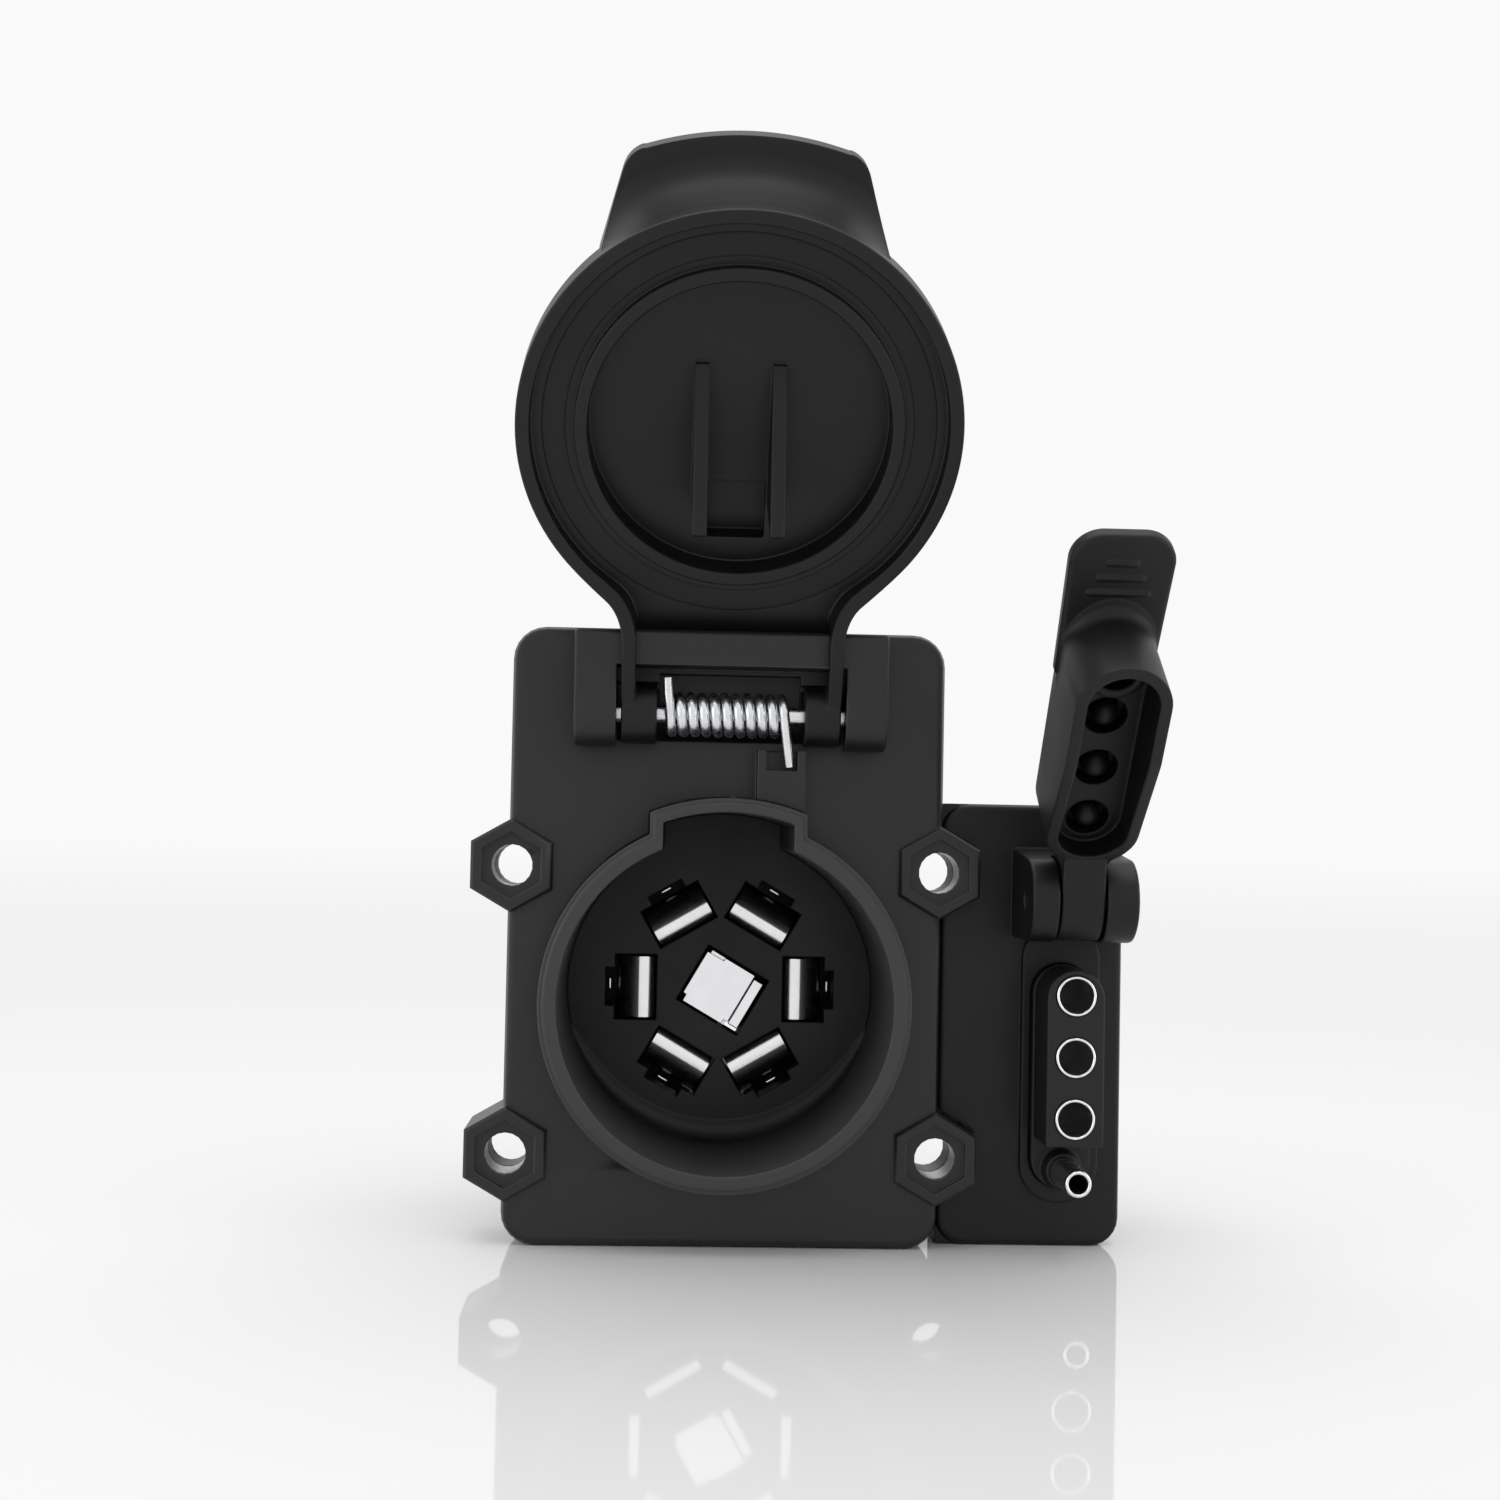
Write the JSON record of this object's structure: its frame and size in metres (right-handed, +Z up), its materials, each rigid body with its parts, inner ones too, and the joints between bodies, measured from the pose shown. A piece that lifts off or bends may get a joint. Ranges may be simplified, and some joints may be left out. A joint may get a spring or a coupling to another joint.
{
  "type": "trailer wiring connector",
  "caption": "Vehicle-side trailer socket: a keyed round blade socket and a flat connector in one black moulded body, with a sprung lid and a soft cap, both open.",
  "frame": {"origin": "middle of the bounding box's bottom face, with both covers open as at rest", "axes": "+Z up, +X to the right of someone facing the sockets, +Y away from them towards the cable side"},
  "size_m": [0.0928, 0.0944, 0.1478],
  "materials": {
    "black_moulding": "satin, fine moulded grain",
    "black_insert": "matt moulded plastic",
    "black_rubber": "soft, dull",
    "tinned_contact": "bright tin plate on sheet and tube",
    "steel": "bright drawn wire and pin",
    "zinc_bush": "pale zinc plate"
  },
  "bodies": {
    "housing": {"main_housing": "black_moulding", "mount_sleeve_1": "zinc_bush", "mount_sleeve_2": "zinc_bush", "mount_sleeve_3": "zinc_bush", "mount_sleeve_4": "zinc_bush", "socket_barrel": "black_insert", "contact_carrier": "black_insert", "blade_contact_1": "tinned_contact", "blade_contact_2": "tinned_contact", "blade_contact_3": "tinned_contact", "blade_contact_4": "tinned_contact", "blade_contact_5": "tinned_contact", "blade_contact_6": "tinned_contact", "centre_contact": "tinned_contact", "lid_hinge_pin": "steel", "lid_spring": "steel", "flat_housing": "black_moulding", "flat_connector_body": "black_insert", "female_contact_1": "tinned_contact", "female_contact_2": "tinned_contact", "female_contact_3": "tinned_contact", "male_pin": "tinned_contact", "cap_hinge_pin": "steel", "rear_gasket": "black_rubber", "rear_cover": "black_moulding", "rear_screw_1": "steel", "rear_screw_2": "steel", "rear_screw_3": "steel", "rear_screw_4": "steel", "cable_gland": "black_insert", "flat_rear_cover": "black_moulding", "flat_screw_1": "steel", "flat_screw_2": "steel"},
    "lid_body": {"lid": "black_moulding", "lid_seal": "black_rubber"},
    "cap_body": {"cap": "black_rubber"}
  },
  "joints": [
    {"name": "lid_hinge", "type": "hinge", "parent": "housing", "child": "lid_body", "pos_m": [-0.0107, -0.01232, 0.0742], "axis": [1, 0, 0], "range_deg": [0, 149.5], "deforming": ["lid_spring"]},
    {"name": "cap_hinge", "type": "hinge", "parent": "housing", "child": "cap_body", "pos_m": [0.0374, -0.01552, 0.0496], "axis": [1, 0, 0], "range_deg": [0, 141.5]}
  ]
}
